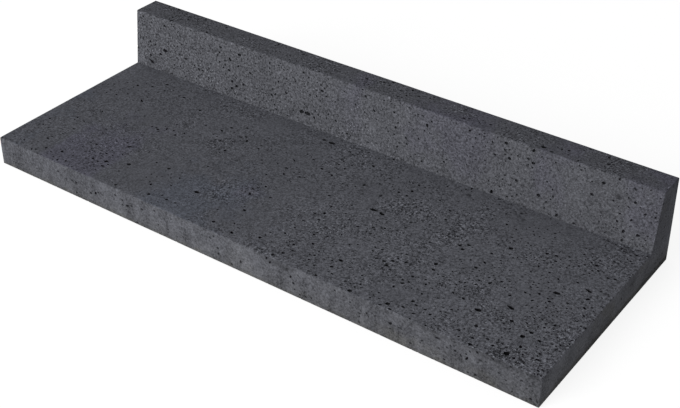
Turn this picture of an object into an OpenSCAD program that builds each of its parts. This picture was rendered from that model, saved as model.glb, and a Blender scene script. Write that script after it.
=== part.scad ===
// L-shaped retaining wall unit, cast in one piece of concrete.
// The foot lies flat, and the wall stands along its back edge.
// The origin is the middle of the underside: X runs along the wall, +Y towards its back, +Z up.

/* [Overall size] */
// Length of the unit along the wall
length = 1000; // [400:50:2000]
// Depth of the foot, from its free edge to the back of the wall
foot_depth = 400; // [200:10:800]
// Height of the whole unit, from the underside to the top of the wall
height = 150; // [100:10:400]

/* [Thickness] */
// Thickness of the foot
foot_thickness = 50; // [30:5:80]
// Thickness of the wall at its top
wall_thickness = 50; // [30:5:80]

/* [Draft] */
// How far the front face of the wall leans back between the foot and its top
front_batter = 10; // [0:1:20]
// How far the back face leans forward over the whole height
back_batter = 10; // [0:1:20]

/* [Edges] */
// Size of the small bevel along every outer edge
arris = 1.5; // [0.5:0.5:4]

/* [Hidden] */

// Corners of the section in [Y, Z], counter-clockwise seen from +X, before the bevels
FREE_BOTTOM = [-foot_depth / 2, 0];
BACK_BOTTOM = [foot_depth / 2, 0];
BACK_TOP = [foot_depth / 2 - back_batter, height];
FRONT_TOP = BACK_TOP - [wall_thickness, 0];
ROOT = [FRONT_TOP[0] - front_batter, foot_thickness];
FREE_TOP = [-foot_depth / 2, foot_thickness];
CORNERS = [FREE_BOTTOM, BACK_BOTTOM, BACK_TOP, FRONT_TOP, ROOT, FREE_TOP];

// The blocks that cut the bevels reach past the whole section from any of its corners
REACH = 4 * (foot_depth + height);

// The point at a distance from one point towards another
function towards(from, to, distance) = from + distance * (to - from) / norm(to - from);

// The two ends of the bevel at a corner, or the corner itself at the root, which stays sharp
function bevelled(i) =
    let (here = CORNERS[i])
    let (before = CORNERS[(i + len(CORNERS) - 1) % len(CORNERS)])
    let (after = CORNERS[(i + 1) % len(CORNERS)])
    here == ROOT ? [here] : [towards(here, before, arris), towards(here, after, arris)];

// The L-shaped section, with a bevel at each corner that stands out
module section() {
    polygon([for (i = [0 : len(CORNERS) - 1]) each bevelled(i)]);
}

// All that lies beyond the bevel between the +X end and the face that runs from one corner to the next
module beyond_bevel(corner, next) {
    outward = atan2(next[1] - corner[1], next[0] - corner[0]) - 90;
    translate([length / 2 - arris, corner[0], corner[1]])
        rotate([outward, 0, 0])
            rotate([0, 0, 45])
                translate([0, -REACH / 2, -REACH / 2])
                    cube(REACH);
}

// What the bevels take off round the +X end
module end_bevels() {
    beyond_bevel(FREE_BOTTOM, BACK_BOTTOM);
    beyond_bevel(BACK_BOTTOM, BACK_TOP);
    beyond_bevel(BACK_TOP, FRONT_TOP);
    beyond_bevel(FREE_TOP, FREE_BOTTOM);
    // At the root the two bevels meet in a mitre that turns inwards
    intersection() {
        beyond_bevel(FRONT_TOP, ROOT);
        beyond_bevel(ROOT, FREE_TOP);
    }
}

// Foot and wall, one casting
module wall_unit() {
    color([0.28, 0.29, 0.31])
        difference() {
            // The section is drawn in Y and Z, so its extrusion is turned to run along X
            rotate([90, 0, 90])
                linear_extrude(height = length, center = true)
                    section();
            for (end = [0, 1])
                mirror([end, 0, 0])
                    end_bevels();
        }
}

wall_unit();
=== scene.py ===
# %% [markdown]
# # A retaining wall unit in dark cast concrete
#
# The object is one casting: a flat foot slab, and a short upright wall that grows from its back edge.
# Its shape is plain, so what makes it look real is the skin. Concrete traps air against the mould, and
# each trapped bubble leaves a small dark void. This lesson models the casting, cuts the voids into it as
# true geometry, and then builds the finish that lies between them.
#
# The CAD model is loaded first. Everything below is in metres, in the CAD model's own frame.

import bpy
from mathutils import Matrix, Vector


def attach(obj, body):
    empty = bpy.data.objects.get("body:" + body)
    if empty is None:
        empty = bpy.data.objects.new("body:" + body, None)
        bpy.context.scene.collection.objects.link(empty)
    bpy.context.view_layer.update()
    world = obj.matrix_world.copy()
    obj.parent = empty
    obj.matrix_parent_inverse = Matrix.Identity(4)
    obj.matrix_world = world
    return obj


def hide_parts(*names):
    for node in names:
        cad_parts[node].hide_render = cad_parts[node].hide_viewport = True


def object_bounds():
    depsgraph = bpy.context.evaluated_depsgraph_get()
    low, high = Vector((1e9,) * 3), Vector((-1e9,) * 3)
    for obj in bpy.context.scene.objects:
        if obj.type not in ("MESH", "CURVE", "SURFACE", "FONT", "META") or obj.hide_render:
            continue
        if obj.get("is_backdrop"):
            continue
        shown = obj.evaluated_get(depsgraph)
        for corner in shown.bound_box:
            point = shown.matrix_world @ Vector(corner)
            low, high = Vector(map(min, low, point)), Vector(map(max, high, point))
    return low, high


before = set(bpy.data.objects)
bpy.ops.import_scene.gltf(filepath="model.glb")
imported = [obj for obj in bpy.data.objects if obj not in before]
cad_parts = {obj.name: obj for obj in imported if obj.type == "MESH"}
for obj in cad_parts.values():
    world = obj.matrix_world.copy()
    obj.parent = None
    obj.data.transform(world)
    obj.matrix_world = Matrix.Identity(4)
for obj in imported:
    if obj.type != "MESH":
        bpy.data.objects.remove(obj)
cad_low, cad_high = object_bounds()
print("CAD box, in metres:", [round(v, 4) for v in (*cad_low, *cad_high)])

# %% Load the libraries
import math
import random
from collections import namedtuple
from contextlib import contextmanager
from itertools import product

import bmesh
import bpy
import numpy as np
from mathutils import Matrix, Vector, noise
from mathutils.kdtree import KDTree

MM = 0.001
TOUCH = 0.1 * MM  # closer than this is the same place
FACING = 0.9  # a normal's share in a direction, past which its face looks that way
X, Y, Z = Vector((1, 0, 0)), Vector((0, 1, 0)), Vector((0, 0, 1))

# %% [markdown]
# ## Read the section
#
# The section is an L with six long faces. Typed in again, it could drift apart from the CAD model. So
# the planes of the long faces are read from the CAD solid, and the corners are where neighbouring planes
# meet. The small bevels on the solid's edges are left out by their small area.

# %% Find the six long planes
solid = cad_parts["wall_unit"].data
LONG_FACE_AREA = 0.02

areas = {}
for face in solid.polygons:
    across_unit, y, z = (round(v, 4) for v in face.normal)
    if not across_unit:
        plane = (y, z, round(face.normal.dot(face.center), 5))
        areas[plane] = areas.get(plane, 0) + face.area
planes = [plane for plane, area in areas.items() if area > LONG_FACE_AREA]
print("long planes (normal y, normal z, distance):", sorted(planes))

# %% Name the planes and find the corners
upward = sorted((p for p in planes if p[1] > FACING), key=lambda p: p[2])
forward = sorted((p for p in planes if p[0] < -FACING), key=lambda p: p[2])
foot_top, wall_top = upward
wall_front, free_edge = forward
wall_back = next(p for p in planes if p[0] > FACING)
underside = next(p for p in planes if p[1] < -FACING)


def meet(a, b):
    """The corner of the section where two planes meet, at X = 0."""
    turn = a[0] * b[1] - a[1] * b[0]
    return Vector((0, (a[2] * b[1] - b[2] * a[1]) / turn, (a[0] * b[2] - b[0] * a[2]) / turn))


section = [foot_top, wall_front, wall_top, wall_back, underside, free_edge]
CORNERS = [meet(a, b) for a, b in zip(section[-1:] + section, section)]
FREE_TOP, ROOT, FRONT_TOP, BACK_TOP, BACK_BOTTOM, FREE_BOTTOM = CORNERS
SIDES = list(zip(CORNERS, CORNERS[1:] + CORNERS[:1]))
HALF_LENGTH = cad_high.x
ARRIS = min(v.co.z for v in solid.vertices if abs(v.co.y - FREE_BOTTOM.y) < TOUCH)
print("corners from the free edge's top, round to its foot:")
print([(round(c.y / MM, 1), round(c.z / MM, 1)) for c in CORNERS])
print(f"length {2 * HALF_LENGTH / MM:.1f} mm, bevel {ARRIS / MM:.1f} mm")

# %% [markdown]
# ## Model the block
#
# By hand, the block is a box for the foot, cut along the line where the wall begins, with the strip
# behind that line pulled up. Its top edges are then moved to give the wall its lean, which lets a real
# casting leave its mould. Edit mode does all of this, so helpers open it and select by a rule.


# %% Helpers for edit mode
def choose(*pieces):
    """Selects these pieces and no others, and makes the first one active."""
    bpy.ops.object.select_all(action="DESELECT")
    for piece in pieces:
        piece.select_set(True)
    bpy.context.view_layer.objects.active = pieces[0]


@contextmanager
def editing(piece, kind):
    """Edit mode on one piece, with nothing selected. kind is VERT, EDGE or FACE."""
    choose(piece)
    bpy.ops.object.mode_set(mode="EDIT")
    bpy.ops.mesh.select_mode(type=kind)
    bpy.ops.mesh.select_all(action="DESELECT")
    yield
    bpy.ops.object.mode_set(mode="OBJECT")


def select(piece, parts, rule):
    """Selects the verts, edges or faces that the rule picks, and no others."""
    mesh = bmesh.from_edit_mesh(piece.data)
    for part in getattr(mesh, parts):
        part.select_set(False)
    chosen = [part for part in getattr(mesh, parts) if rule(part)]
    for part in chosen:
        part.select_set(True)
    bmesh.update_edit_mesh(piece.data)
    return len(chosen)


# %% Add the foot as a box
foot_size = Vector((2 * HALF_LENGTH, BACK_BOTTOM.y - FREE_BOTTOM.y, FREE_TOP.z - FREE_BOTTOM.z))
foot_middle = Vector((0, (BACK_BOTTOM.y + FREE_BOTTOM.y) / 2, foot_size.z / 2))
bpy.ops.mesh.primitive_cube_add(size=1, location=foot_middle, scale=foot_size)
casting = bpy.context.object
casting.name = casting.data.name = "wall_casting"
bpy.ops.object.transform_apply(location=True, rotation=True, scale=True)
print("foot, in metres:", [round(v, 4) for v in foot_size])

# %% Pull the wall up behind the root line
wall_rise = (FRONT_TOP.z - ROOT.z) * Z
with editing(casting, "FACE"):
    bpy.ops.mesh.select_all(action="SELECT")
    bpy.ops.mesh.bisect(plane_co=ROOT, plane_no=Y)
    strip = select(casting, "faces", lambda f: f.normal.z > FACING and f.calc_center_median().y > ROOT.y)
    bpy.ops.mesh.extrude_region_move(TRANSFORM_OT_translate={"value": wall_rise})
print("faces pulled up:", strip)

# %% Lean the wall's two faces


def move_line(start, end):
    """Moves the long edge that lies at one corner of the section to another place."""
    with editing(casting, "VERT"):
        moved = select(casting, "verts", lambda v: (v.co.yz - start.yz).length < TOUCH)
        bpy.ops.transform.translate(value=end - start)
    return moved


square_back = Vector((0, BACK_BOTTOM.y, BACK_TOP.z))
square_front = Vector((0, ROOT.y, FRONT_TOP.z))
back_at_foot_top = BACK_BOTTOM.lerp(BACK_TOP, FREE_TOP.z / BACK_TOP.z)
moved = move_line(square_front, FRONT_TOP) + move_line(square_back, BACK_TOP)
moved += move_line(Vector((0, BACK_BOTTOM.y, FREE_TOP.z)), back_at_foot_top)
print("corners moved:", moved)

# %% [markdown]
# The block has a few huge faces. A mesh that will lose thousands of voids is easier to cut, and can
# be slightly uneven, when its faces are small. Loop cuts need a window, so plain bisects make the grid.

# %% Cut a grid
GRID = 25 * MM
CLEAR = 5 * MM


def cut_lines(start, end, keep_off=()):
    """Places of grid lines between two ends, clear of the places in keep_off."""
    count = int((end - start) / GRID)
    places = [start + i * GRID for i in range(1, count + 1)]
    return [p for p in places if end - p > CLEAR and all(abs(p - k) > CLEAR for k in keep_off)]


x_lines = cut_lines(-HALF_LENGTH, HALF_LENGTH)
y_lines = cut_lines(FREE_TOP.y, BACK_TOP.y, keep_off=(ROOT.y, FRONT_TOP.y))
z_lines = cut_lines(0, BACK_TOP.z, keep_off=(FREE_TOP.z,))
with editing(casting, "FACE"):
    for places, normal in ((x_lines, X), (y_lines, Y), (z_lines, Z)):
        for place in places:
            bpy.ops.mesh.select_all(action="SELECT")
            bpy.ops.mesh.bisect(plane_co=place * normal, plane_no=normal)
print("grid lines:", len(x_lines), len(y_lines), len(z_lines))

# %% [markdown]
# The outer edges are bevelled next. A sharp edge never comes out of a mould: it crumbles, or the mould has
# a fillet. Two long edges are softer than the rest, the foot's free edge and the wall's front one, because
# hands and boots reach them first, and the rim of the underside is crisper. A Bevel modifier that is
# limited by edge weights does all three widths at once. The root, where the wall meets the foot, turns
# inwards and stays sharp.

# %% Bevel the outer edges
SOFT_ARRIS, CRISP_ARRIS = 2.5 * MM, 0.8 * MM


def is_outer(edge):
    return edge.is_manifold and edge.calc_face_angle_signed() > 1


def is_soft(edge):
    """An edge on the foot's free edge or on the wall's front one."""
    lines = (FREE_TOP.yz, FRONT_TOP.yz)
    return is_outer(edge) and any(all((v.co.yz - c).length < TOUCH for v in edge.verts) for c in lines)


def is_under(edge):
    return is_outer(edge) and all(v.co.z < TOUCH for v in edge.verts)


with editing(casting, "EDGE"):
    outer = select(casting, "edges", is_outer)
    bpy.ops.transform.edge_bevelweight(value=ARRIS / SOFT_ARRIS)
    soft = select(casting, "edges", is_soft)
    bpy.ops.transform.edge_bevelweight(value=1)
    under = select(casting, "edges", is_under)
    bpy.ops.transform.edge_bevelweight(value=(CRISP_ARRIS - ARRIS) / SOFT_ARRIS)


def apply_modifier(piece, kind, settings):
    """Adds a modifier with its settings and applies it."""
    choose(piece)
    modifier = piece.modifiers.new(kind.lower(), kind)
    for name, value in settings.items():
        setattr(modifier, name, value)
    bpy.ops.object.modifier_apply(modifier=modifier.name)


apply_modifier(casting, "BEVEL", {"limit_method": "WEIGHT", "width": SOFT_ARRIS, "segments": 4})
print("bevelled edges:", outer, "| soft:", soft, "| crisp:", under)

# %% [markdown]
# Mould boards and trowels leave a face that is flat to about half a millimetre, never perfectly. A
# Displace modifier with a soft Clouds texture gives that. Its middle level is 1, so it only moves
# the surface inwards, and the casting can't grow out of the CAD model's box.

# %% Make the faces slightly uneven
UNEVEN = 0.5 * MM
clouds = bpy.data.textures.new("uneven_faces", "CLOUDS")
clouds.noise_scale = 0.11
clouds.noise_depth = 1
uneven = {"texture": clouds, "texture_coords": "GLOBAL", "mid_level": 1, "strength": UNEVEN}
apply_modifier(casting, "DISPLACE", uneven)
print("top of the wall, in mm:", round(max(v.co.z for v in casting.data.vertices) / MM, 2))

# %% [markdown]
# ## Lay out the faces
#
# Voids are placed on each face by two distances: along it, and across it. A sheet holds one face's
# corner, its two directions, the way it looks and its size. The six long sheets follow the section
# round, so that along, across and out form a right-handed set.

# %% Sheets for the eight faces
Sheet = namedtuple("Sheet", "corner along across out length width")


def long_sheet(start, end):
    """The face that runs along X between two corners of the section."""
    across = (end - start).normalized()
    return Sheet(start - HALF_LENGTH * X, X, across, X.cross(across), 2 * HALF_LENGTH, (end - start).length)


def end_sheet(side):
    """The end of the unit at +X or -X, as the box round its L."""
    along = side * Y
    corner = Vector((side * HALF_LENGTH, -side * BACK_BOTTOM.y, 0))
    return Sheet(corner, along, Z, side * X, 2 * BACK_BOTTOM.y, BACK_TOP.z)


LONG_FACES = ("foot_top", "wall_front", "wall_top", "wall_back", "underside", "free_edge")
SHEETS = {name: long_sheet(*side) for name, side in zip(LONG_FACES, SIDES)}
SHEETS["right_end"], SHEETS["left_end"] = end_sheet(1), end_sheet(-1)


def spot(sheet, along, across):
    """The point of a sheet at two distances from its corner, in metres."""
    return sheet.corner + along * sheet.along + across * sheet.across


for name, sheet in SHEETS.items():
    print(f"{name}: {sheet.length / MM:.0f} x {sheet.width / MM:.0f} mm, looks along", tuple(sheet.out))

# %% [markdown]
# ## Model the voids
#
# Each void is cut by a closed shape that is modelled once and copied. Small voids are near-round
# bubbles, and a ball of twenty faces is enough for them, because there are thousands. The few large ones
# show their outline: some are lumpy, and some have a tail where two bubbles ran together. Randomize
# knocks vertices off the round, and a smooth subdivision rounds the knocked shape again.


# %% Shapes of the voids
def edited(ball, wobble, seed, smooth_cuts=0):
    """Knocks a ball out of round and gives it rounder faces."""
    with editing(ball, "VERT"):
        bpy.ops.mesh.select_all(action="SELECT")
        bpy.ops.transform.vertex_random(offset=wobble, uniform=0.6, normal=0, seed=seed)
        if smooth_cuts:
            bpy.ops.mesh.subdivide(number_cuts=smooth_cuts, smoothness=1)
    return ball


def bubble(detail, wobble, seed, smooth_cuts=0):
    """A ball of 20 faces at a detail of 1, or of 80 at a detail of 2, knocked out of round."""
    bpy.ops.mesh.primitive_ico_sphere_add(subdivisions=detail, radius=0.5)
    return edited(bpy.context.object, wobble, seed, smooth_cuts)


def medium_bubble(seed):
    bpy.ops.mesh.primitive_uv_sphere_add(segments=8, ring_count=4, radius=0.5)
    return edited(bpy.context.object, 0.05, seed)


def tailed_void(seed):
    """A void whose left half is drawn out and bent into a thin tail, in two steps."""
    bpy.ops.mesh.primitive_ico_sphere_add(subdivisions=2, radius=0.36, location=(0.14, 0, 0))
    ball = bpy.context.object
    bpy.ops.object.transform_apply(location=True)
    for beyond, slim, bend in ((0.1, 0.95, 0.05), (-0.05, 0.85, 0.12)):
        with editing(ball, "VERT"):
            select(ball, "verts", lambda v: v.co.x < beyond)
            bpy.ops.transform.resize(value=(1.3, slim, slim), center_override=(beyond, 0, 0))
            bpy.ops.transform.translate(value=(-0.08, bend, 0))
    return edited(ball, 0.05, seed, smooth_cuts=1)


SHAPES = {
    "small": [bubble(1, 0.06, seed) for seed in range(5)],
    "medium": [medium_bubble(seed) for seed in range(5)],
    "large": [bubble(2, 0.07, seed) for seed in range(5)],
    "lumpy": [bubble(2, 0.12, seed, smooth_cuts=1) for seed in range(4)],
    "tailed": [tailed_void(seed) for seed in range(2)],
}
for kind, shapes in SHAPES.items():
    print(kind, "shapes:", len(shapes), "of", len(shapes[0].data.polygons), "faces")

# %% [markdown]
# A void is remembered as a shape and a matrix, so that it can be tested for room before anything is
# copied. Its middle sits a little above the surface, so that its rim is open and no edge hangs over it.
# Two voids that overlap in one cutting tool would confuse the cut, so one that has no room is left out.

# %% Keep the voids apart
CELL = 15 * MM
ROOM = 0.1 * MM
Void = namedtuple("Void", "kind matrix place reach")
voids = []
neighbours = {}
draw = random.Random(41)


def cell_of(place):
    return tuple(int(math.floor(v / CELL)) for v in place)


def has_room(place, reach):
    """Whether a ball round this place is clear of every void so far."""
    cells = product(*((c - 1, c, c + 1) for c in cell_of(place)))
    near = [void for cell in cells for void in neighbours.get(cell, ())]
    return all((v.place - place).length > v.reach + reach + ROOM for v in near)


def add_void(kind, place, axes, size, lift, turn):
    """Adds a void of a size (long, wide, deep), if it has room. lift is in shares of its depth."""
    centre = place + axes.col[2].xyz * lift * size[2]
    reach = max(size) / 2
    if not has_room(centre, reach):
        return False
    turned = axes @ Matrix.Rotation(turn, 3, "Z") @ Matrix.Diagonal(Vector(size))
    matrix = Matrix.Translation(centre) @ turned.to_4x4()
    voids.append(Void(kind, matrix, centre, reach))
    neighbours.setdefault(cell_of(centre), []).append(voids[-1])
    return True


def axes_of(sheet):
    """A sheet's along, across and out as the columns of a matrix."""
    return Matrix((sheet.along, sheet.across, sheet.out)).transposed()


print("room kept between voids:", ROOM / MM, "mm")

# %% [markdown]
# The largest voids are listed one by one, as a modeller would dot them on. Each mark is a distance along
# the face, a distance across it, and a length and a width, all in millimetres. Where the void isn't turned
# or lumpy, or isn't as deep as is usual on its face, its turn in degrees, its shape and its depth follow.

# %% Place the largest voids one by one
DEEP, SHALLOW, FAINT = 1.0, 0.36, 0.12
USUAL_DEPTH = {"foot_top": DEEP, "wall_front": DEEP, "free_edge": SHALLOW, "wall_top": DEEP}
HAND_SCALE, HAND_DEPTH, HAND_LIFT = 1.2, 1.8, 0.03
Mark = namedtuple("Mark", "along across long wide turn kind depth", defaults=(0, "lumpy", None))
LARGE = {
    "foot_top": [
        (101, 299, 6, 4), (207, 264, 5, 4), (105, 229, 8, 3, -35), (229, 65, 6, 5), (194, 50, 6, 5),
        (289, 93, 5, 4, 40), (369, 68, 8, 5), (435, 310, 6, 5), (451, 309, 10, 5),
        (434, 230, 8, 2, -35), (545, 291, 6, 4, -40), (615, 189, 11, 5), (631, 187, 9, 5, -20),
        (481, 16, 6, 4, -30), (650, 55, 7, 4, -10), (710, 309, 8, 7, 0, "lumpy", FAINT),
        (809, 300, 6, 6, 0, "lumpy", FAINT), (830, 224, 6, 5), (777, 195, 5, 4), (767, 187, 5, 4),
        (775, 181, 5, 4), (965, 199, 9, 5, -10, "tailed"), (932, 169, 9, 5), (763, 128, 5, 5),
        (710, 98, 5, 4), (700, 90, 5, 4), (708, 84, 5, 4), (897, 103, 10, 6, -5, "tailed"),
        (864, 73, 9, 5), (912, 79, 5, 4), (945, 73, 5, 4), (939, 59, 6, 6), (879, 42, 5, 4),
        (758, 12, 6, 5), (939, 17, 7, 6), (892, 5, 6, 4), (39, 19, 4, 3, -20, "large"),
        (70, 6, 5, 2.5, -50, "large"), (101, 19, 4, 2, -20, "large"), (141, 13, 4, 3.5, 0, "large"),
        (254, 9, 4, 4, 0, "large"), (313, 20, 5, 4.5, 0, "large"), (345, 25, 4, 4, 0, "large"),
        (362, 26, 4, 3, 0, "large"), (441, 22, 5, 4.5, 0, "large"), (522, 31, 5, 4.5, 30, "large"),
        (563, 8, 4, 4, 0, "large"), (579, 33, 9, 3, 0, "tailed"), (626, 23, 4, 3.5, 0, "large"),
        (642, 6, 4, 3.5, 0, "large"), (648, 35, 5, 4.5, 0, "large"), (658, 22, 4, 3, 0, "large"),
        (700, 5, 6, 5), (751, 4, 5, 3, 30, "large"), (767, 4, 5, 3, -10, "large"),
        (783, 37, 5, 4, 30, "large"), (791, 32, 5, 3, -10, "large"), (798, 15, 6, 3, 20, "large"),
        (817, 26, 4, 4, 0, "large"), (865, 21, 5, 3, 0, "large"), (888, 18, 5, 3, -20, "large"),
        (917, 20, 4, 4, 0, "large"), (951, 14, 4, 3.5, 0, "large"), (957, 9, 3, 3, 0, "large"),
    ],
    "wall_front": [
        (68, 42, 9, 5), (35, 12, 10, 6, -15, "tailed"), (236, 83, 6, 4), (222, 30, 5, 4),
        (232, 24, 5, 4), (222, 17, 5, 4), (372, 22, 8, 5, 15), (384, 22, 10, 5), (797, 75, 5, 4),
        (749, 92, 5, 4), (736, 5, 4, 6), (813, 27, 5, 4), (936, 70, 12, 7, 0, "lumpy", FAINT),
        (974, 21, 5, 4),
    ],
    "free_edge": [
        (134, 34, 6, 3, 10), (165, 28, 6, 3), (174, 28, 5, 3), (216, 24, 4, 5), (845, 40, 9, 3),
        (771, 29, 5, 4, 40), (891, 28, 3, 6, -20), (972, 32, 5, 3, 30), (911, 35, 5, 3),
        (594, 42, 4, 7, -30, "lumpy", FAINT), (787, 28, 6, 3), (284, 27, 6, 4, 35), (274, 25, 4, 3, 20),
        (205, 20, 4, 4), (293, 30, 5, 3, 20, "large"), (315, 33, 5, 3, 0, "large"),
        (558, 46, 3, 5, -20, "large"), (564, 41, 3, 5, -20, "large"), (601, 32, 3, 5, -20, "large"),
        (771, 20, 4, 3, 0, "large"), (822, 24, 5, 3, 20, "large"), (939, 28, 4, 3, 0, "large"),
    ],
    "wall_top": [
        (805, 10, 7, 5), (476, 30, 5, 4), (61, 45, 6, 4), (517, 46, 5, 4),
    ],
}
for name, rows in LARGE.items():
    sheet = SHEETS[name]
    for mark in (Mark(*row) for row in rows):
        place = spot(sheet, mark.along * MM, mark.across * MM)
        long, wide = mark.long * HAND_SCALE * MM, mark.wide * HAND_SCALE * MM
        deep = wide * HAND_DEPTH * (mark.depth or USUAL_DEPTH[name])
        add_void(mark.kind, place, axes_of(sheet), (long, wide, deep), HAND_LIFT, math.radians(mark.turn))
print("large voids:", len(voids))

# %% [markdown]
# The small voids are scattered. They aren't even over a real casting: they gather in swarms, where the
# mix was stiffer or the mould wasn't knocked enough, and leave calm patches between. Perlin noise
# makes the swarms, and a trend along each face thins them towards one end. Their widths follow a
# log-normal law: most are near two millimetres, and a few are twice that.

# %% Scatter the small voids
Scatter = namedtuple("Scatter", "sheet count along across width depth")
EVEN = (1.0, 1.0, 1.0)
SCATTERS = [
    Scatter("foot_top", 1400, (0.2, 0.12, 1.0), (0.9, 1.0, 0.4), 2.7, DEEP),
    Scatter("wall_front", 485, (1.0, 0.38, 0.56), EVEN, 2.6, DEEP),
    Scatter("wall_top", 190, (1.0, 0.85, 0.4), EVEN, 2.6, DEEP),
    Scatter("free_edge", 160, (0.35, 0.3, 1.0), EVEN, 3.0, SHALLOW),
    Scatter("wall_back", 460, (0.7, 1.0, 0.8), EVEN, 2.4, DEEP),
    Scatter("underside", 280, (0.8, 1.0, 0.8), EVEN, 2.5, DEEP),
    Scatter("right_end", 150, EVEN, EVEN, 2.3, SHALLOW),
    Scatter("left_end", 150, EVEN, EVEN, 2.3, SHALLOW),
]
SWARM, SWARM_BASE, SWARM_SWING, SWARM_DETAIL = 70 * MM, 0.45, 1.1, 0.9
EDGE_CLEAR, END_CLEAR = 2.5 * MM, 2 * MM
MEDIUM_FROM, LARGE_FROM = 3.5 * MM, 4.4 * MM
NARROWEST, WIDEST, WIDTH_SPREAD, TURN_SPREAD = 1.4, 4.5, 0.3, 0.7
LONG_PER_WIDE, DEEP_PER_WIDE, LIFTS = (1.0, 1.7), (1.3, 2.1), (0.02, 0.1)
TRIES_PER_VOID = 60


def in_section(place):
    """Whether a point of the end face lies inside the L, clear of its edges."""
    lean = (place.z - ROOT.z) / (FRONT_TOP.z - ROOT.z)
    front = ROOT.lerp(FRONT_TOP, lean).y if place.z > ROOT.z else FREE_TOP.y
    back = BACK_BOTTOM.lerp(BACK_TOP, place.z / BACK_TOP.z).y
    return front + END_CLEAR < place.y < back - END_CLEAR


def level(trend, share):
    """A trend has three levels, at the start, middle and end. This reads it at a share of the way."""
    step = min(int(share * 2), 1)
    return trend[step] + (trend[step + 1] - trend[step]) * (share * 2 - step)


def swarm(place):
    """How crowded this place is, from 0 to 1."""
    crowd = SWARM_BASE + SWARM_SWING * noise.noise(place / SWARM)
    crowd += SWARM_DETAIL * noise.noise(place / SWARM * 3)
    return min(max(crowd, 0.05), 1)


def scatter(plan):
    """Draws voids on one sheet until the plan's count is reached."""
    sheet = SHEETS[plan.sheet]
    upright = plan.sheet.endswith("_end")
    made = tries = 0
    while made < plan.count and tries < TRIES_PER_VOID * plan.count:
        tries += 1
        share, across = draw.random(), draw.random()
        inside = EDGE_CLEAR + across * (sheet.width - 2 * EDGE_CLEAR)
        place = spot(sheet, share * sheet.length, inside)
        if upright and not in_section(place):
            continue
        if draw.random() > level(plan.along, share) * level(plan.across, across) * swarm(place):
            continue
        wide = plan.width * math.exp(draw.gauss(0, WIDTH_SPREAD))
        wide = min(max(wide, NARROWEST), WIDEST) * MM
        long = wide * draw.uniform(*LONG_PER_WIDE)
        size = (long, wide, wide * draw.uniform(*DEEP_PER_WIDE) * plan.depth)
        kind = "large" if wide > LARGE_FROM else "medium" if wide > MEDIUM_FROM else "small"
        turn = draw.gauss(0, TURN_SPREAD)
        lift = draw.uniform(*LIFTS)
        made += add_void(kind, place, axes_of(sheet), size, lift, turn)
    return made, tries


for plan in SCATTERS:
    print(plan.sheet, "voids and tries:", *scatter(plan))

# %% [markdown]
# Bubbles and grains also break the bevelled edges, and these nicks stop an edge from looking drawn with
# a ruler. They sit on the edge's own line and look outwards between its two faces.

# %% Nick the edges
NICK_SPACING, NICK_GAPS = 24 * MM, (0.3, 1.9)
NICK_WIDE, NICK_LONG_PER_WIDE, NICK_TURN, NICK_SINK = (1.2, 2.2), (1, 1.8), 0.3, 0.3


def nick_line(start, end, out):
    """Small voids with uneven gaps along the edge from start to end."""
    along = (end - start).normalized()
    axes = Matrix((along, out.cross(along), out)).transposed()
    made, at = 0, draw.uniform(0, NICK_SPACING)
    while at < (end - start).length:
        wide = draw.uniform(*NICK_WIDE) * MM
        size = (wide * draw.uniform(*NICK_LONG_PER_WIDE), wide, wide)
        place = start + at * along - NICK_SINK * ARRIS * out
        made += add_void("small", place, axes, size, 0.0, draw.gauss(0, NICK_TURN))
        at += NICK_SPACING * draw.uniform(*NICK_GAPS)
    return made


long_outs = [X.cross(end - start).normalized() for start, end in SIDES]
nicks = 0
for i, corner in enumerate(CORNERS):
    if corner is not ROOT:
        out = (long_outs[i] + long_outs[i - 1]).normalized()
        nicks += nick_line(corner - HALF_LENGTH * X, corner + HALF_LENGTH * X, out)
for side in (-1, 1):
    for long_out, (start, end) in zip(long_outs, SIDES):
        out = (side * X + long_out).normalized()
        nicks += nick_line(start + side * HALF_LENGTH * X, end + side * HALF_LENGTH * X, out)
print("nicks:", nicks, "| voids in all:", len(voids))

# %% [markdown]
# ## Cut the voids
#
# The voids are copies of the modelled shapes, each with a mesh of its own, joined into one cutting
# tool. One Boolean modifier takes the tool away from the block. The Manifold solver does thousands of
# voids in a few seconds, and with its materials set to transfer, the faces that the tool leaves in the
# casting keep the tool's own finish. So the voids get a lining, and the outer skin stays as it is.

# %% Join the copies into one tool
skin = bpy.data.materials.new("cast_skin")
lining = bpy.data.materials.new("void_lining")


def copy_of(void):
    """A copy of one of the void's shapes, with its own mesh, at the void's place."""
    shape = draw.choice(SHAPES[void.kind])
    piece = shape.copy()
    piece.data = shape.data.copy()
    piece.data.materials.append(lining)
    piece.matrix_world = void.matrix
    bpy.context.collection.objects.link(piece)
    return piece


choose(*[copy_of(void) for void in voids])
bpy.ops.object.join()
tool = bpy.context.object
bpy.ops.object.transform_apply(location=True, rotation=True, scale=True)
casting.data.materials.append(skin)
print("faces of the cutting tool:", len(tool.data.polygons))

# %% Take the tool away from the block
cut = {"operation": "DIFFERENCE", "solver": "MANIFOLD", "material_mode": "TRANSFER", "object": tool}
apply_modifier(casting, "BOOLEAN", cut)
for shape in (tool, *(s for shapes in SHAPES.values() for s in shapes)):
    bpy.data.objects.remove(shape)

# %% Smooth what is rounded
SMOOTH_BELOW = math.radians(50)
bpy.ops.object.shade_smooth_by_angle(angle=SMOOTH_BELOW)
shape = bmesh.new()
shape.from_mesh(casting.data)
open_edges = sum(not e.is_manifold for e in shape.edges)
volume = shape.calc_volume()
shape.free()
triangles = sum(len(p.vertices) - 2 for p in casting.data.polygons)
print("triangles:", triangles, "| open edges:", open_edges)
print(f"volume: {volume * 1000:.2f} litres")

# %% [markdown]
# ## Measure how deep the voids are
#
# A bubble is darkest at its bottom, where least light gets in, and its rim is nearly as pale as the skin.
# So each vertex of a void gets its depth below the mouth, as an attribute that the lining reads.

# %% Find the void of each face


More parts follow.
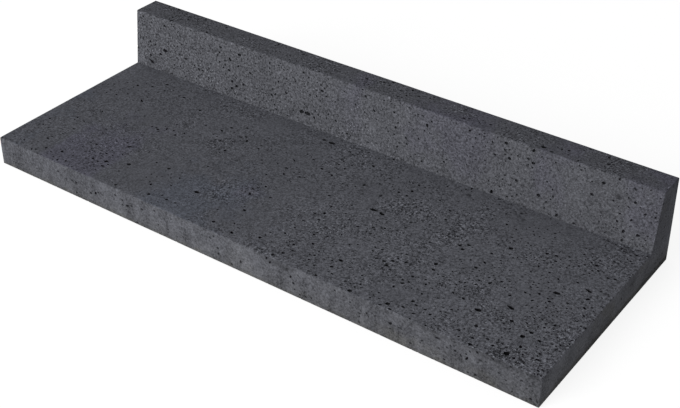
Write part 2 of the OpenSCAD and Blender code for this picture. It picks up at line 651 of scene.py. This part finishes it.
def numbers(items, name, width=1, kind=np.float32):
    """One property of many mesh parts, as an array."""
    found = np.empty(len(items) * width, kind)
    items.foreach_get(name, found)
    return found.reshape(-1, width) if width > 1 else found


polygons = casting.data.polygons
middles, looks = numbers(polygons, "center", 3), numbers(polygons, "normal", 3)
lined = numbers(polygons, "material_index", kind=np.int32) > 0
tree = KDTree(len(voids))
for i, void in enumerate(voids):
    tree.insert(void.place, i)
tree.balance()
void_of_face = np.array([tree.find(middle)[1] for middle in middles])
mouths = np.array([void.place for void in voids])
outs = np.array([void.matrix.col[2].xyz.normalized() for void in voids])
looks[lined] = outs[void_of_face[lined]]
print("voids that cut the skin:", len(set(void_of_face[lined].tolist())))

# %% Write the depth on the mesh
VOID_DEPTH = "depth_in_void"
face_of_corner = np.repeat(np.arange(len(polygons)), numbers(polygons, "loop_total", kind=np.int32))
corner_verts = numbers(casting.data.loops, "vertex_index", kind=np.int32)
vertex_places = numbers(casting.data.vertices, "co", 3)
inner = lined[face_of_corner]
verts, of = corner_verts[inner], void_of_face[face_of_corner[inner]]
depths = np.zeros(len(vertex_places), np.float32)
depths[verts] = ((mouths[of] - vertex_places[verts]) * outs[of]).sum(axis=1).clip(0) / MM
casting.data.attributes.new(VOID_DEPTH, "FLOAT", "POINT").data.foreach_set("value", depths)
print(f"deepest void: {depths.max():.1f} mm, middle depth: {np.median(depths[verts]):.2f} mm")

# %% [markdown]
# ## Lay the skin out flat
#
# To bake the finish to an image for other programs, every face needs a flat place: a UV map. Automatic
# unwrapping would cut the voids into thousands of scraps. Here each face is pressed straight onto its own
# sheet, the insides of the voids too, and the sheets lie in rows on the square. The underside is seldom
# seen, so its row is half as high.

# %% Give each sheet its place on the square
GAP = 3 * MM
ROWS = (
    ("foot_top",), ("wall_front",), ("wall_top",), ("free_edge",),
    ("wall_back",), ("right_end", "left_end"), ("underside",),
)
SQUEEZE = {"underside": 0.5}
row_heights = [SHEETS[row[0]].width * SQUEEZE.get(row[0], 1) for row in ROWS]
whole_height = sum(row_heights) + GAP * (len(ROWS) + 1)
whole_width = 2 * HALF_LENGTH + GAP * 2
spots_on_square = {}
row_start = GAP
for row, height in zip(ROWS, row_heights):
    room = whole_width - GAP * (len(row) + 1)
    stretch = room / sum(SHEETS[name].length for name in row)
    start = GAP
    for name in row:
        scale = np.array((stretch / whole_width, SQUEEZE.get(name, 1) / whole_height))
        spots_on_square[name] = (np.array((start / whole_width, row_start / whole_height)), scale)
        start += SHEETS[name].length * stretch + GAP
    row_start += height + GAP
print(f"height of all rows: {whole_height / MM:.0f} mm")

# %% Find the sheet of each face
FLAT_MAP = "OFBake"
NEAR = 5 * MM
misses = [
    np.abs((middles - np.array(sheet.corner)) @ np.array(sheet.out)) / NEAR - looks @ np.array(sheet.out)
    for sheet in SHEETS.values()
]
sheet_of_face = np.argmin(misses, axis=0)
print("faces on each sheet:", dict(zip(SHEETS, np.bincount(sheet_of_face).tolist())))

# %% Write the map
sheet_of_corner = sheet_of_face[face_of_corner]
places = vertex_places[corner_verts]
flat = np.zeros((len(places), 2), np.float32)
for i, (name, sheet) in enumerate(SHEETS.items()):
    here = sheet_of_corner == i
    reach_in = places[here] - np.array(sheet.corner)
    origin, scale = spots_on_square[name]
    flat[here] = origin + scale * (reach_in @ np.array((sheet.along, sheet.across)).T)
casting.data.uv_layers.new(name=FLAT_MAP).uv.foreach_set("vector", flat.ravel())
print("map from", flat.min(axis=0).round(3).tolist(), "to", flat.max(axis=0).round(3).tolist())

# %% [markdown]
# ## The finish
#
# Shader maths reads best as ordinary expressions. The class below wraps one output of a node, and its
# operators add the Math nodes. Every other node is made by the one method `node`, which takes the
# node's type, its settings, and the values or links of its sockets.


# %% Node maths
class Value:
    """One output of a node. Arithmetic on it adds Math nodes."""

    def __init__(self, finish, socket):
        self.finish, self.socket = finish, socket

    def math(self, operation, first, second):
        return self.finish.node("Math", {"operation": operation}, {0: first, 1: second})

    def __add__(self, other):
        return self.math("ADD", self, other)

    def __sub__(self, other):
        return self.math("SUBTRACT", self, other)

    def __rsub__(self, other):
        return self.math("SUBTRACT", other, self)

    def __mul__(self, other):
        return self.math("MULTIPLY", self, other)

    __radd__, __rmul__ = __add__, __mul__

    def limited(self, low=0.0, high=1.0):
        return self.finish.node("Clamp", {}, {0: self, 1: low, 2: high})

    def fade(self, none_at, full_at):
        """A mask that goes from 0, where the value is none_at, to 1, where it is full_at."""
        slope = 1 / (full_at - none_at)
        return (slope * self - slope * none_at).limited()


class Finish:
    """A material or a world, with an empty node tree."""

    def __init__(self, owner):
        owner.use_nodes = True
        self.tree = owner.node_tree
        self.tree.nodes.clear()

    def node(self, kind, settings, sockets, out=0):
        """Adds a node, with its settings first and then the values or links of its sockets."""
        made = self.tree.nodes.new("ShaderNode" + kind)
        for name, value in settings.items():
            if name == "stops":
                self.set_stops(made.color_ramp.elements, value)
            else:
                setattr(made, name, value)
        for key, value in sockets.items():
            if isinstance(value, Value):
                self.tree.links.new(value.socket, made.inputs[key])
            else:
                made.inputs[key].default_value = value
        return Value(self, made.outputs[out]) if made.outputs else None

    @staticmethod
    def set_stops(elements, stops):
        """Gives a ramp its stops, which are pairs of a place and a grey."""
        for place, grey in stops[1:-1]:
            elements.new(place).color = (grey, grey, grey, 1)
        for element, (place, grey) in ((elements[0], stops[0]), (elements[-1], stops[-1])):
            element.position = place
            element.color = (grey, grey, grey, 1)

    def mixed(self, share, first, second):
        """The first colour at a share of 0, and the second at 1."""
        return self.node("Mix", {"data_type": "RGBA"}, {0: share, 6: first, 7: second}, out=2)


print("node maths ready")

# %% [markdown]
# Concrete gets its look at several scales at once. Clouds a hand wide are where the pigment and the
# water were uneven. Mottle of a few millimetres is paste and fine sand, and grain of one millimetre
# keeps a close view from going soft. Pinholes too small to model, and pale grains of sand, are cells
# of a Voronoi texture: each cell draws its own radius, so some have a dot and the others none. The
# pinholes are painted dark, as painted shade in holes too small to model, and sink a little in the relief.


# %% Patterns of the concrete
def place_in_mm(finish):
    """The place on the casting, in millimetres."""
    place = finish.node("TexCoord", {}, {}, out="Object")
    return finish.node("VectorMath", {"operation": "SCALE"}, {0: place, "Scale": 1 / MM})


def cloud(place, size, detail=2.0, roughness=0.5):
    """Soft noise about zero, mostly within a quarter of it, with features of a size in millimetres."""
    sockets = {"Vector": place, "Scale": 1 / size, "Detail": detail, "Roughness": roughness}
    return place.finish.node("TexNoise", {}, sockets) - 0.5


def dots(place, spacing, widest, share, crowd):
    """1 in a dot and 0 outside. share of the cells have one, or more where crowd is above 1."""
    sockets = {"Vector": place, "Scale": 1 / spacing}
    node = place.finish.node
    distance, colour = (node("TexVoronoi", {}, sockets, out=out) for out in ("Distance", "Color"))
    chance = node("SeparateColor", {}, {0: colour})
    radius = (chance - 1 + share * crowd) * (0.5 * widest / spacing / share)
    return (radius - distance).fade(0, 0.25 * widest / spacing)


# %% Choose the colours
BASE_COLOUR = (0.0851, 0.0875, 0.1001, 1)
BLUE_COLOUR = (0.0815, 0.0874, 0.1055, 1)
VIOLET_COLOUR = (0.0864, 0.0866, 0.1085, 1)
WARM_COLOUR = (0.0862, 0.0875, 0.0952, 1)
STAIN_COLOUR = (0.0880, 0.0875, 0.0870, 1)
print("base colour:", BASE_COLOUR[:3])

# %% [markdown]
# The tone isn't the same on every face. The foot's top is calmer at its left end and busier at its right.
# Next to the wall it is painted lighter at its left end and darker at its right: painted light and shade
# by the wall. The free edge is warmer and blotchy, with soft upright marks where the mould leaked a little
# paste. Its upper rim is worn in two places, and a darker band is painted there: painted shade, as though
# the worn rim were rounder and turned away from the lamp. Low down, the upright sides are darker and
# stained: dirt from the ground has crept up the free edge and the ends, and painted shade lies where they
# meet the floor. Two ramps say how light the free edge is along its length, and how far down it is worn.
# A mask for each face comes from the place and from the way the face looks.

# %% Set the free edge's tone and wear
EDGE_SCALE = 1.2
EDGE_STOPS = [
    (0.0, 0.83), (0.30, 0.82), (0.37, 0.87), (0.50, 0.90), (0.56, 0.80),
    (0.62, 0.86), (0.67, 0.79), (0.86, 0.78), (0.93, 0.73), (1.0, 0.72),
]
# The worn band on the free edge's rim is painted darker, as painted shade; these say how far down it
# reaches.
WORN_DEPTH = 20
WORN_STOPS = [
    (0.0, 0.0), (0.53, 0.0), (0.55, 0.7), (0.605, 0.7), (0.62, 0.1),
    (0.79, 0.05), (0.82, 0.6), (0.86, 0.3), (0.90, 0.5), (1.0, 0.5),
]
print("deepest wear, in mm:", WORN_DEPTH * max(depth for _, depth in WORN_STOPS))

# %% Masks for the faces
RAGGED, RAGGED_SIZE = 30, 14
DIRT_AND_SHADE_HEIGHT, DIRT_AND_SHADE_MORE_ON_END = 7, 6


class Faces:
    """Masks for the faces, and shares of the way across. Fades are in millimetres or such shares."""

    def __init__(self, finish, place):
        right, back, rise = (finish.node("SeparateXYZ", {}, {0: place}, out=axis) for axis in "XYZ")
        normal = finish.node("TexCoord", {}, {}, out="Normal")
        sideways, upward = (finish.node("SeparateXYZ", {}, {0: normal}, out=axis) for axis in "XZ")
        foot, top = FREE_TOP.z / MM, BACK_TOP.z / MM
        self.share = right * (0.5 * MM / HALF_LENGTH) + 0.5
        self.depth = (back - FREE_TOP.y / MM) * (MM / (BACK_BOTTOM.y - FREE_TOP.y))
        self.level = (upward * upward).fade(0.25, 0.75)
        self.end = (sideways * sideways).fade(0.25, 0.75)
        upright = (1 - self.level) * (1 - self.end)
        before_root = ROOT.y / MM - back
        on_foot = before_root.fade(0, 50)
        self.foot_top = self.level * on_foot
        # Painted light and shade on the foot's top next to the wall: it is made lighter at the left end and
        # darker at the right.
        self.under_wall = self.foot_top * self.depth * self.depth * self.depth * self.depth
        self.free_edge = upright * on_foot
        self.near_wall_front = before_root.fade(1, 0) * before_root.fade(-15, -14)
        self.wall_front = upright * self.near_wall_front
        self.high = rise.fade(37.5, 100)
        self.low_edge = self.free_edge * rise.fade(30, 13.3)
        self.low_right = self.wall_front * (1 - self.high) * self.share.fade(0.9, 1.0)
        self.wall_top = rise.fade(top - 2, top - 1)
        self.wall_end = self.end * rise.fade(foot, foot + 10)
        self.low_end = self.end * rise.fade(1.1 * foot, 0.1 * foot)
        self.back_end = self.end * self.depth
        ragged = RAGGED * cloud(place, RAGGED_SIZE, detail=3)
        # Painted shade on the worn rim, as though the rim there were rounder and turned away from the lamp.
        worn_shaded_band = WORN_DEPTH * finish.node("ValToRGB", {"stops": WORN_STOPS}, {0: self.share})
        self.worn_shaded_band = self.free_edge * (rise + worn_shaded_band + ragged).fade(foot + 2, foot + 7)
        # Dirt and painted shade: the upright sides are stained and painted darker just above the floor,
        # higher on the ends.
        dirt_and_shade_top = DIRT_AND_SHADE_HEIGHT + DIRT_AND_SHADE_MORE_ON_END * self.end + 0.5 * ragged
        self.base_dirt_and_shade = (1 - self.level) * (dirt_and_shade_top - rise).fade(0, 5)
        # Painted shade in the crease: the wall's front is darker in the few millimetres above its root.
        self.root_crease_shade = self.wall_front * (foot + 4 + 0.5 * ragged - rise).fade(0, 5)


def on_faces(faces, rows, everywhere=1.0):
    """A number that is the same everywhere but for what the rows add on their faces."""
    total = everywhere
    for name, left, *growth in rows:
        change = left + growth[0] * faces.share if growth else left
        total = total + change * getattr(faces, name)
    return total


print("masks ready")

# %% Set what changes from face to face
# A row is a face, a change at the unit's left end and, if it grows towards the right, by how much.
ROUGHER = (
    ("wall_front", 0.26, -0.36), ("wall_top", 0.42, -0.4), ("foot_top", -0.06),
    ("free_edge", -0.28), ("end", -0.3),
)
ROUGHER_RIGHT = 0.38
PALER = (
    # The row for the foot's top next to the wall is painted light and shade, not a paler mix.
    ("foot_top", -0.08, 0.15), ("under_wall", 0.42, -0.53), ("wall_front", 0.05, -0.08),
    ("low_right", 0.16), ("wall_top", -0.17), ("end", 0.06), ("back_end", -0.2),
    ("wall_end", -0.07),
)
# Dirt and painted shade: how much darker the low band near the floor is, more on the ends and at their
# back.
DIRT_AND_SHADE_DARKER = (("end", 0.1), ("back_end", 0.3))
# Painted shade on the worn rim band and in the crease at the wall's root; the last number is the low band
# of dirt and painted shade.
WORN_SHADE, ROOT_SHADE, BASE_DIRT_AND_SHADE_DARK = 0.28, 0.06, 0.1
print("faces that are rougher or paler:", len(ROUGHER), len(PALER))

# %% Set the layers of the tone
# Each cloud has a size in millimetres, a strength everywhere, and rows for the faces that have more.
CLOUDS = (
    (110, 0.25, ()),
    (28, 0.3, ()),
    (7, 0, (("free_edge", 0.6), ("wall_top", 0.8))),
    (45, 0, (("end", 1.1),)),
)
MARK_SIZE, MARK_SQUASH, MARK_STRENGTH = 20, (1, 0.25, 0.25), 0.3
MARKED = (("free_edge", 0.9), ("end", 0.7))
MOTTLE_SIZE, GRAIN_SIZE, SWARM_SIZE = 3.4, 1.1, 75
MOTTLE, GRAIN, MOTTLE_RELIEF, GRAIN_RELIEF = 2.4, 2.4, 0.5, 0.3
SWARMS_ON_TONE, SWARMS_ON_DOTS = 2, 1.5
# Dots have a spacing and a greatest width in millimetres, and a share of cells that have one.
SPECKS, WIDE_PITS, FINE_PITS = (4.0, 2.4, 0.45), (5.6, 3.0, 0.5), (2.6, 1.5, 0.5)
SPECK_LIGHT, LESS_LIGHT = 1.1, (("foot_top", -0.25),)
# Painted shade: how dark the pinhole dots are painted, and how far they sink in the relief.
PIT_SHADE, PIT_SINK, FEWER_DOTS = 0.7, 1.2, 0.3
DARKEST, PALEST = 0.15, 2.5
print("mottle and grain, in mm:", MOTTLE_SIZE, GRAIN_SIZE)


# %% Light and dark of the concrete
def face_tone(finish, faces):
    """How light each face is, round 1."""
    tones = finish.node("ValToRGB", {"stops": EDGE_STOPS}, {0: faces.share})
    tone = on_faces(faces, PALER) + faces.free_edge * (EDGE_SCALE * tones - 1)
    # Painted shade: the worn band on the free edge's rim, and the crease at the wall's root.
    tone = tone * (1 - WORN_SHADE * faces.worn_shaded_band) * (1 - ROOT_SHADE * faces.root_crease_shade)
    # Dirt and painted shade low on the upright sides, where they meet the floor.
    return tone * (1 - on_faces(faces, DIRT_AND_SHADE_DARKER, BASE_DIRT_AND_SHADE_DARK) * faces.base_dirt_and_shade)


def concrete_shade(finish, place, faces, pitted):
    """How light the concrete is at each place, round 1, its mottle and its relief."""
    swarms = cloud(place, SWARM_SIZE)
    strength = on_faces(faces, ROUGHER) + ROUGHER_RIGHT * faces.foot_top * faces.share * faces.share
    strength = strength * (1 + SWARMS_ON_TONE * faces.level * swarms)
    mottle = cloud(place, MOTTLE_SIZE, roughness=0.55)
    grain = cloud(place, GRAIN_SIZE)
    shade = 1 + strength * (MOTTLE * mottle + GRAIN * grain)
    for size, everywhere, rows in CLOUDS:
        shade = shade + on_faces(faces, rows, everywhere) * cloud(place, size)
    upright = finish.node("VectorMath", {"operation": "MULTIPLY"}, {0: place, 1: MARK_SQUASH})
    marks = cloud(upright, MARK_SIZE, detail=3, roughness=0.6)
    shade = shade + on_faces(faces, MARKED, MARK_STRENGTH) * (1 - faces.level) * marks
    height = MOTTLE_RELIEF * mottle + GRAIN_RELIEF * grain
    if pitted:
        crowd = (strength - FEWER_DOTS * faces.free_edge) * (1 + SWARMS_ON_DOTS * swarms)
        aside = finish.node("VectorMath", {}, {0: place, 1: (50, 50, 50)})
        specks = dots(aside, *SPECKS, crowd)
        # Painted shade: pinholes too small to model are painted dark, and sunk in the relief.
        shaded_pits = (dots(place, *WIDE_PITS, crowd) + dots(place, *FINE_PITS, crowd)).limited()
        light = on_faces(faces, LESS_LIGHT, SPECK_LIGHT)
        shade = shade * (1 + light * specks) * (1 - PIT_SHADE * shaded_pits)
        height = height - PIT_SINK * shaded_pits
    return (shade * face_tone(finish, faces)).limited(DARKEST, PALEST), mottle, height


# %% [markdown]
# The pigment isn't even either. A bluish patch lies on the foot left of its middle, a small one beside
# its left end, and violet ones near that end and along the wall. Low on the free edge, to the right, the
# dirt has left a yellowish stain. Ramps along the length place them, and a cloud makes them ragged.

# %% Place the tinted patches
BLUE_STOPS = [
    (0.0, 0.5), (0.04, 0.5), (0.06, 0.0), (0.26, 0.1), (0.34, 0.9), (0.42, 0.9), (0.5, 0.1), (1.0, 0.0),
]
VIOLET_STOPS = [
    (0.0, 0.0), (0.08, 0.0), (0.10, 1.0), (0.20, 1.0), (0.24, 0.0), (0.39, 0.0), (0.42, 0.9),
    (0.48, 0.9), (0.51, 0.0), (0.55, 0.2), (0.62, 1.0), (0.71, 1.0), (0.75, 0.0), (0.79, 0.0),
    (0.81, 0.8), (0.85, 0.8), (0.88, 0.0), (0.93, 0.0), (0.96, 1.0), (1.0, 1.0),
]
STAIN_STOPS = [(0.0, 0.0), (0.48, 0.0), (0.52, 0.2), (0.72, 0.3), (0.77, 0.5), (0.88, 0.5), (1.0, 0.2)]
PATCH_SIZE, PATCH_RAGGED, PATCH_FROM, PATCH_EDGE = 50, 2.0, 0.35, 1.8
WARMER = (("free_edge", 0.25, 0.25), ("low_edge", 0.4), ("low_end", 1.0), ("wall_front", 0.4))
BLOTCHED = (("free_edge", 0.2), ("end", 1.0))
BLOTCH_SIZE, STAIN_SHARE = 60, 0.8


def patch(place, faces, stops, reach):
    """A ragged patch where a ramp along the length and a reach on the faces are both high."""
    along = place.finish.node("ValToRGB", {"stops": stops}, {0: faces.share})
    ragged = PATCH_RAGGED * cloud(place, PATCH_SIZE, detail=3)
    return (PATCH_EDGE * (along * reach + ragged - PATCH_FROM)).limited()


print("stops for blue, violet and stain:", len(BLUE_STOPS), len(VIOLET_STOPS), len(STAIN_STOPS))


# %% Colour of the concrete
def concrete_colour(finish, place, faces):
    """The colour of the paste, before its lights and darks."""
    near_front = faces.depth.fade(0.53, 0.2)
    beside_end = faces.depth.fade(0.36, 0.49) * faces.depth.fade(0.61, 0.49) * faces.share.fade(0.07, 0)
    blue = patch(place, faces, BLUE_STOPS, faces.foot_top * (near_front + 2 * beside_end))
    on_wall = faces.wall_front * faces.high + 0.8 * faces.wall_top
    on_foot = faces.foot_top * near_front * faces.share.fade(0.64, 0.18)
    reach = on_wall * faces.share.fade(0.35, 0.52) + on_foot
    violet = patch(place, faces, VIOLET_STOPS, reach)
    blotch = cloud(place, BLOTCH_SIZE).fade(0.08, 0.25)
    stain = faces.base_dirt_and_shade + blotch * on_faces(faces, BLOTCHED, 0)
    stain = stain + patch(place, faces, STAIN_STOPS, faces.low_edge)
    colour = finish.mixed(blue, BASE_COLOUR, BLUE_COLOUR)
    colour = finish.mixed(violet, colour, VIOLET_COLOUR)
    colour = finish.mixed(on_faces(faces, WARMER, 0).limited(), colour, WARM_COLOUR)
    return finish.mixed((STAIN_SHARE * stain).limited(), colour, STAIN_COLOUR)


# %% Set the painted shade in the voids
RIM_TONE, TONE_FALL, DEEPEST_TONE = 0.97, 0.62, 0.1
FALL_ON_WALL, DEEPEST_ON_WALL = -0.14, 0.12
print("a void is at its darkest", round((RIM_TONE - DEEPEST_TONE) / TONE_FALL, 1), "mm down")


# %% Build the finishes
def cast_concrete(material, in_voids):
    """Cast concrete, with painted shade: pinholes painted dark on the skin, and void linings darker with
    depth.
    """
    finish = Finish(material)
    place = place_in_mm(finish)
    faces = Faces(finish, place)
    shade, mottle, height = concrete_shade(finish, place, faces, pitted=not in_voids)
    if in_voids:
        # Painted shade: the lining is painted darker the deeper it lies below the void's mouth.
        depth = finish.node("Attribute", {"attribute_name": VOID_DEPTH}, {}, out="Fac")
        fall = TONE_FALL + FALL_ON_WALL * faces.near_wall_front
        deepest = DEEPEST_TONE + DEEPEST_ON_WALL * faces.near_wall_front
        shade = shade * (RIM_TONE - fall * depth).limited(deepest)
    colour = concrete_colour(finish, place, faces)
    colour = finish.node("VectorMath", {"operation": "SCALE"}, {0: colour, "Scale": shade})
    relief = finish.node("Bump", {}, {"Strength": 0.6, "Distance": 0.6 * MM, "Height": height})
    sockets = {
        "Base Color": colour,
        "Roughness": (0.88 + 0.3 * mottle).limited(0.6, 1.0),
        "Specular IOR Level": 0.05,
        "Normal": relief,
    }
    finish.node("OutputMaterial", {}, {"Surface": finish.node("BsdfPrincipled", {}, sockets)})


cast_concrete(skin, in_voids=False)
cast_concrete(lining, in_voids=True)
print("finishes:", skin.name, lining.name)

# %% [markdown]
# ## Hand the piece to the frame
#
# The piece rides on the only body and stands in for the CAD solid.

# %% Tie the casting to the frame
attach(casting, "root")
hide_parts("wall_unit")
print(casting.name, "replaces wall_unit")

# %% [markdown]
# ## The studio
#
# The casting stands on a pale floor. To the camera the floor is mostly a glow with some of its lit colour
# added, so that it turns white in the open and still darkens under the unit. To all other rays it's a
# plain pale floor, which throws soft light back up at the upright faces.

# %% Floor and backdrop
FLOOR_GLOW, FLOOR_SHARE = 0.84, 0.24


def seen(finish):
    """1 for rays from the camera, a mirror or a lens, and 0 for rays that only carry light."""
    outs = ("Is Camera Ray", "Is Glossy Ray", "Is Transmission Ray")
    camera, glossy, through = (finish.node("LightPath", {}, {}, out=name) for name in outs)
    return (camera + glossy + through).limited()


bpy.ops.mesh.primitive_plane_add(size=60, location=(0, 0, -0.3 * MM))
floor = bpy.context.object
floor.name = "studio_floor"
pale = bpy.data.materials.new("pale_floor")
paint = Finish(pale)
plain = paint.node("BsdfDiffuse", {}, {"Color": (0.8, 0.8, 0.8, 1)})
shown = paint.node("BsdfDiffuse", {}, {"Color": (FLOOR_SHARE, FLOOR_SHARE, FLOOR_SHARE, 1)})
glow = paint.node("Emission", {}, {"Strength": FLOOR_GLOW})
shown = paint.node("AddShader", {}, {0: shown, 1: glow})
paint.node("OutputMaterial", {}, {0: paint.node("MixShader", {}, {0: seen(paint), 1: plain, 2: shown})})
floor.data.materials.append(pale)
floor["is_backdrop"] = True
print("floor at z", floor.location.z)

# %% Lights
AMBIENT = 0.43
world = bpy.data.worlds.new("studio")
bpy.context.scene.world = world
sky = Finish(world)
ambient = sky.node("Background", {}, {"Color": (1, 1, 1, 1), "Strength": AMBIENT})
white = sky.node("Background", {}, {"Color": (1, 1, 1, 1), "Strength": 1.0})
sky.node("OutputWorld", {}, {0: sky.node("MixShader", {}, {0: seen(sky), 1: ambient, 2: white})})

# One large lamp looks at the unit from its front left.
KEY_PLACE, KEY_WIDTH, KEY_POWER = Vector((-1.7, -6.1, 3.1)), 4.0, 430
bpy.ops.object.light_add(type="AREA", location=KEY_PLACE)
key = bpy.context.object
key.name = "key"
key.data.size, key.data.energy = KEY_WIDTH, KEY_POWER
key.rotation_euler = (-KEY_PLACE).to_track_quat("-Z", "Y").to_euler()
print("ambient", AMBIENT, "| key", KEY_POWER, "W")

# %% [markdown]
# ## The camera
#
# The view looks down on the unit from its right, so that the foot, the wall's front and the right end
# all show. The lens is a little long, which keeps the far end from shrinking much.

# %% Camera
CAMERA_PLACE = Vector((0.987, -1.343, 1.125))
AZIMUTH, ELEVATION = math.radians(36.38), math.radians(34.02)
LENS, SHIFT_X, SHIFT_Y = 67.5, 0.0363, 0.0066
bpy.ops.object.camera_add(location=CAMERA_PLACE)
camera = bpy.context.object
camera.rotation_euler = (math.pi / 2 - ELEVATION, 0, AZIMUTH)
camera.data.lens = LENS
camera.data.shift_x, camera.data.shift_y = SHIFT_X, SHIFT_Y
bpy.context.scene.camera = camera
bpy.context.scene.view_settings.view_transform = "Standard"
print("camera at", tuple(round(v, 3) for v in CAMERA_PLACE))

# %% [markdown]
# ## Check the size
#
# The casting is kept inside the CAD model's box. The room it leaves on each side is printed.

# %% Print the room left inside the CAD box
seen_low, seen_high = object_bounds()
room = [round((a - b) / MM, 2) for a, b in zip((*seen_low, *cad_high), (*cad_low, *seen_high))]
print("room left inside the CAD box, in mm:", room)
